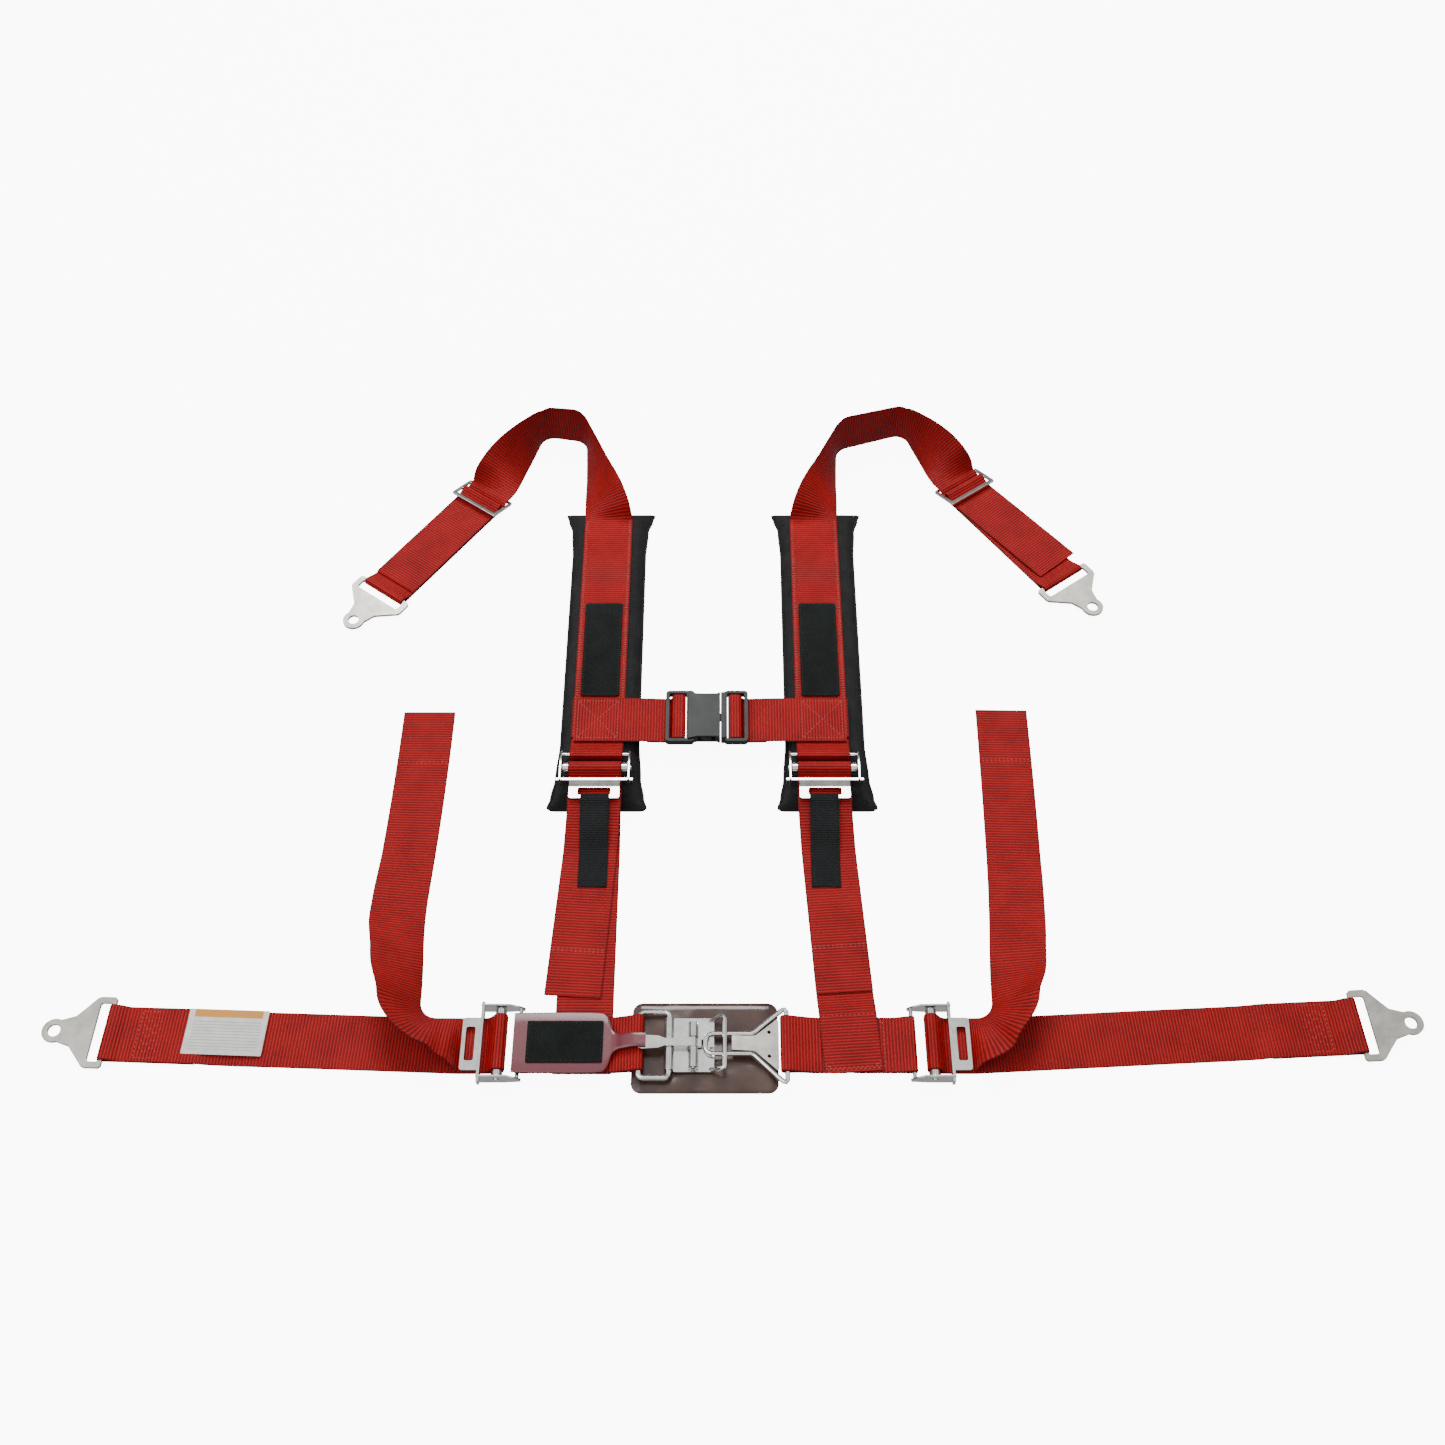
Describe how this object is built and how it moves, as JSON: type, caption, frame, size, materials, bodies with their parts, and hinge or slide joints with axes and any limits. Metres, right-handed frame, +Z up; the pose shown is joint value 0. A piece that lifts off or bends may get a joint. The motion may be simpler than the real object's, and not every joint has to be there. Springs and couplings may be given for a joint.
{
  "type": "racing harness",
  "caption": "Racing harness of red webbing with a latch-and-link lap buckle, tilt-lock adjusters, padded shoulder straps, a sternum strap with a side-release clip and bolt-in anchors.",
  "frame": {"origin": "under the middle of the buckle's backing pad, on the surface the harness lies on", "axes": "+X to the right-hand lap anchor, +Y to the shoulder anchors, +Z up"},
  "size_m": [1.2053, 0.7689, 0.0515],
  "materials": {
    "backing_pad": "brown vinyl over card",
    "care_label": "white label cloth, blank",
    "chest_buckle_housing": "moulded, satin",
    "chest_buckle_insert": "moulded, satin",
    "chest_buckle_prong_front": "moulded, satin",
    "chest_buckle_prong_rear": "moulded, satin",
    "hook_patch_left": "black woven cover",
    "hook_patch_right": "black woven cover",
    "inner_lap_strap_left": "woven polyester webbing, 50.8 mm wide",
    "inner_lap_strap_right": "woven polyester webbing, 50.8 mm wide",
    "lap_adjuster_bar_left": "chromed",
    "lap_adjuster_bar_right": "chromed",
    "lap_adjuster_frame_left": "chromed",
    "lap_adjuster_frame_right": "chromed",
    "lap_anchor_left": "zinc-plated",
    "lap_anchor_right": "zinc-plated",
    "lap_strap_left": "woven polyester webbing, 50.8 mm wide",
    "lap_strap_right": "woven polyester webbing, 50.8 mm wide",
    "latch_base": "chromed",
    "latch_lever": "chromed",
    "lever_pin": "chromed",
    "link_plate": "zinc-plated",
    "link_ring": "chromed",
    "lower_shoulder_strap_left": "woven polyester webbing, 50.8 mm wide",
    "lower_shoulder_strap_right": "woven polyester webbing, 50.8 mm wide",
    "pull_tab_left": "black webbing",
    "pull_tab_right": "black webbing",
    "release_tab": "flexible, pink-tinted",
    "release_tab_patch": "black woven cover",
    "shoulder_adjuster_bar_left": "chromed",
    "shoulder_adjuster_bar_right": "chromed",
    "shoulder_adjuster_frame_left": "chromed",
    "shoulder_adjuster_frame_right": "chromed",
    "shoulder_anchor_left": "zinc-plated",
    "shoulder_anchor_right": "zinc-plated",
    "shoulder_pad_left": "black woven cover",
    "shoulder_pad_right": "black woven cover",
    "shoulder_slide_left": "chromed",
    "shoulder_slide_right": "chromed",
    "shoulder_strap_left": "woven polyester webbing, 50.8 mm wide",
    "shoulder_strap_right": "woven polyester webbing, 50.8 mm wide",
    "sternum_patch_left": "woven polyester webbing, 50.8 mm wide",
    "sternum_patch_right": "woven polyester webbing, 50.8 mm wide",
    "sternum_strap_left": "woven polyester webbing, 50.8 mm wide",
    "sternum_strap_right": "woven polyester webbing, 50.8 mm wide",
    "webbing_ring": "chromed"
  },
  "bodies": {
    "harness": {"backing_pad": "backing_pad", "latch_base": "latch_base", "lever_pin": "lever_pin", "webbing_ring": "webbing_ring", "chest_buckle_housing": "chest_buckle_housing", "chest_buckle_insert": "chest_buckle_insert", "inner_lap_strap_left": "inner_lap_strap_left", "lower_shoulder_strap_left": "lower_shoulder_strap_left", "shoulder_strap_left": "shoulder_strap_left", "shoulder_slide_left": "shoulder_slide_left", "shoulder_pad_left": "shoulder_pad_left", "hook_patch_left": "hook_patch_left", "sternum_patch_left": "sternum_patch_left", "sternum_strap_left": "sternum_strap_left", "inner_lap_strap_right": "inner_lap_strap_right", "lower_shoulder_strap_right": "lower_shoulder_strap_right", "shoulder_strap_right": "shoulder_strap_right", "shoulder_slide_right": "shoulder_slide_right", "shoulder_pad_right": "shoulder_pad_right", "hook_patch_right": "hook_patch_right", "sternum_patch_right": "sternum_patch_right", "sternum_strap_right": "sternum_strap_right"},
    "lever": {"latch_lever": "latch_lever", "release_tab": "release_tab", "release_tab_patch": "release_tab_patch"},
    "link": {"link_ring": "link_ring", "link_plate": "link_plate"},
    "lap_adjuster_left": {"lap_adjuster_frame_left": "lap_adjuster_frame_left", "lap_adjuster_bar_left": "lap_adjuster_bar_left"},
    "lap_belt_left": {"lap_strap_left": "lap_strap_left"},
    "lap_anchor_left": {"lap_anchor_left": "lap_anchor_left"},
    "shoulder_anchor_left": {"shoulder_anchor_left": "shoulder_anchor_left"},
    "shoulder_adjuster_left": {"shoulder_adjuster_frame_left": "shoulder_adjuster_frame_left", "shoulder_adjuster_bar_left": "shoulder_adjuster_bar_left"},
    "pull_tab_left": {"pull_tab_left": "pull_tab_left"},
    "lap_adjuster_right": {"lap_adjuster_frame_right": "lap_adjuster_frame_right", "lap_adjuster_bar_right": "lap_adjuster_bar_right"},
    "lap_belt_right": {"lap_strap_right": "lap_strap_right"},
    "lap_anchor_right": {"lap_anchor_right": "lap_anchor_right"},
    "shoulder_anchor_right": {"shoulder_anchor_right": "shoulder_anchor_right"},
    "shoulder_adjuster_right": {"shoulder_adjuster_frame_right": "shoulder_adjuster_frame_right", "shoulder_adjuster_bar_right": "shoulder_adjuster_bar_right"},
    "pull_tab_right": {"pull_tab_right": "pull_tab_right"},
    "care_label": {"care_label": "care_label"},
    "prong_front": {"chest_buckle_prong_front": "chest_buckle_prong_front"},
    "prong_rear": {"chest_buckle_prong_rear": "chest_buckle_prong_rear"}
  },
  "joints": [
    {"name": "lever_lift", "type": "hinge", "parent": "harness", "child": "lever", "pos_m": [-0.01, 0, 0.0112], "axis": [0, 1, 0], "range_deg": [0, 75]},
    {"name": "link_take_up", "type": "slide", "parent": "harness", "child": "link", "axis": [1, 0, 0], "range_m": [0, 0.00051]},
    {"name": "lap_adjuster_tilt_left", "type": "hinge", "parent": "harness", "child": "lap_adjuster_left", "pos_m": [-0.161, 0.0015, 0.0046], "axis": [0, 1, 0], "range_deg": [0, 25]},
    {"name": "lap_belt_level_left", "type": "hinge", "parent": "lap_adjuster_left", "child": "lap_belt_left", "pos_m": [-0.178, 0.0015, 0.0075], "axis": [0, 1, 0], "range_deg": [-25.5, 0]},
    {"name": "lap_anchor_swing_left", "type": "hinge", "parent": "lap_belt_left", "child": "lap_anchor_left", "pos_m": [-0.51979, 0.01271, 0.00375], "axis": [0.0366, 0.9993, 0], "range_deg": [-30, 30]},
    {"name": "shoulder_anchor_swing_left", "type": "hinge", "parent": "harness", "child": "shoulder_anchor_left", "pos_m": [-0.33686, 0.50343, 0.00375], "axis": [-0.8131, 0.5821, 0], "range_deg": [-30, 30]},
    {"name": "shoulder_adjuster_tilt_left", "type": "hinge", "parent": "harness", "child": "shoulder_adjuster_left", "pos_m": [-0.106, 0.273, 0.0233], "axis": [-1, 0, 0], "range_deg": [0, 12]},
    {"name": "pull_tab_lift_left", "type": "hinge", "parent": "shoulder_adjuster_left", "child": "pull_tab_left", "pos_m": [-0.105, 0.24175, 0.022], "axis": [-1, 0, 0], "range_deg": [0, 70]},
    {"name": "lap_adjuster_tilt_right", "type": "hinge", "parent": "harness", "child": "lap_adjuster_right", "pos_m": [0.18, 0.0015, 0.0046], "axis": [0, -1, 0], "range_deg": [0, 25]},
    {"name": "lap_belt_level_right", "type": "hinge", "parent": "lap_adjuster_right", "child": "lap_belt_right", "pos_m": [0.197, 0.0015, 0.0075], "axis": [0, -1, 0], "range_deg": [-25.5, 0]},
    {"name": "lap_anchor_swing_right", "type": "hinge", "parent": "lap_belt_right", "child": "lap_anchor_right", "pos_m": [0.56954, 0.01914, 0.00375], "axis": [0.0523, -0.9986, 0], "range_deg": [-30, 30]},
    {"name": "shoulder_anchor_swing_right", "type": "hinge", "parent": "harness", "child": "shoulder_anchor_right", "pos_m": [0.37063, 0.52053, 0.00375], "axis": [-0.8121, -0.5835, 0], "range_deg": [-30, 30]},
    {"name": "shoulder_adjuster_tilt_right", "type": "hinge", "parent": "harness", "child": "shoulder_adjuster_right", "pos_m": [0.112, 0.273, 0.0233], "axis": [-1, 0, 0], "range_deg": [0, 12]},
    {"name": "pull_tab_lift_right", "type": "hinge", "parent": "shoulder_adjuster_right", "child": "pull_tab_right", "pos_m": [0.111, 0.24175, 0.022], "axis": [-1, 0, 0], "range_deg": [0, 70]},
    {"name": "label_lift", "type": "hinge", "parent": "lap_belt_left", "child": "care_label", "pos_m": [-0.45284, 0.01026, 0.0031], "axis": [-0.0366, -0.9993, 0], "range_deg": [0, 70]},
    {"name": "prong_pinch_front", "type": "hinge", "parent": "harness", "child": "prong_front", "pos_m": [0.0125, 0.319, 0.022], "axis": [0, 0, -1], "range_deg": [0, 8]},
    {"name": "prong_pinch_rear", "type": "hinge", "parent": "harness", "child": "prong_rear", "pos_m": [0.0125, 0.345, 0.022], "axis": [0, 0, 1], "range_deg": [0, 8.2]}
  ],
  "couplings": [
    {"joint": "link_take_up", "follows": "lever_lift", "m_per_rad": 0.00038197},
    {"joint": "lap_belt_level_left", "follows": "lap_adjuster_tilt_left", "ratio": -1},
    {"joint": "lap_belt_level_right", "follows": "lap_adjuster_tilt_right", "ratio": -1},
    {"joint": "prong_pinch_rear", "follows": "prong_pinch_front", "ratio": 1}
  ]
}
